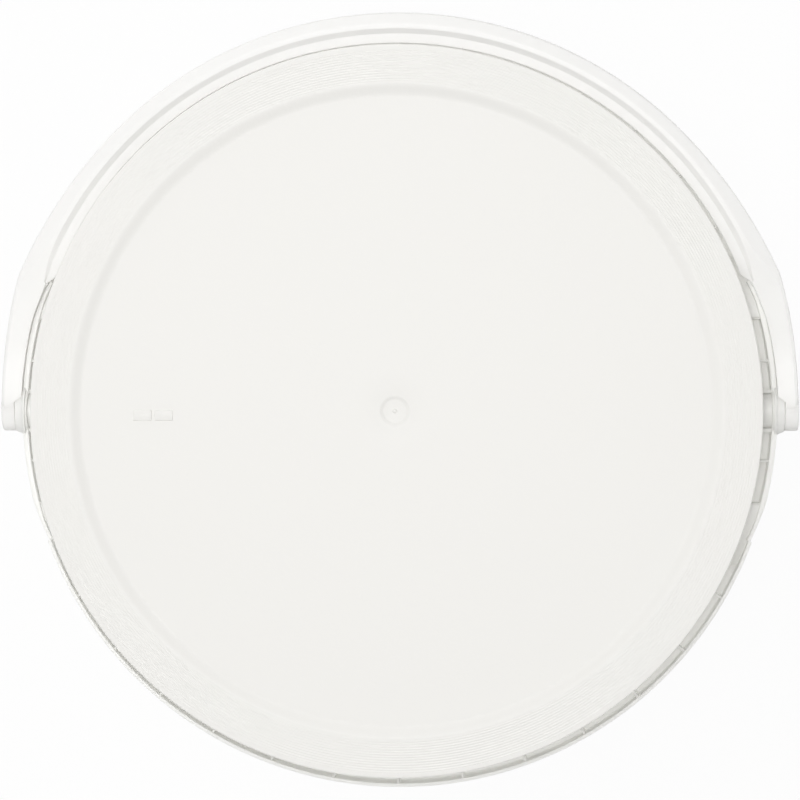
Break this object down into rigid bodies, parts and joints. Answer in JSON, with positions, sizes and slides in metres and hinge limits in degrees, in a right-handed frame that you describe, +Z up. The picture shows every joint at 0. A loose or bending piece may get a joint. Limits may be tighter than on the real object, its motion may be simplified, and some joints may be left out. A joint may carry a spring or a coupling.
{
  "type": "plastic fermenting bucket",
  "caption": "Round white plastic fermenting bucket with a press-on recessed lid on a sealing ring, a ribbed collar under the rim and a swinging plastic handle.",
  "frame": {"origin": "centre of the foot ring, on the surface the bucket stands on", "axes": "+Z up, along the bucket's axis; +X through the right-hand handle pivot; +Y towards the side the handle lies down on"},
  "size_m": [0.3784, 0.3661, 0.4153],
  "materials": {
    "bucket_plastic": "smooth injection-moulded polyethylene with a soft sheen",
    "lid_plastic": "smooth injection-moulded polyethylene with a soft sheen",
    "seal_rubber": "soft, matt",
    "handle_plastic": "smooth injection-moulded polypropylene, slightly glossier than the bucket"
  },
  "bodies": {
    "bucket": {"bucket": "bucket_plastic", "collar": "bucket_plastic"},
    "lid": {"lid": "lid_plastic", "lid_seal": "seal_rubber"},
    "handle": {"handle": "handle_plastic"}
  },
  "joints": [
    {"name": "lid_lift", "type": "slide", "parent": "bucket", "child": "lid", "axis": [0, 0, 1], "range_m": [0, 0.12]},
    {"name": "handle_swing", "type": "hinge", "parent": "bucket", "child": "handle", "pos_m": [0, 0, 0.3813], "axis": [1, 0, 0], "range_deg": [0, 166.5]}
  ]
}
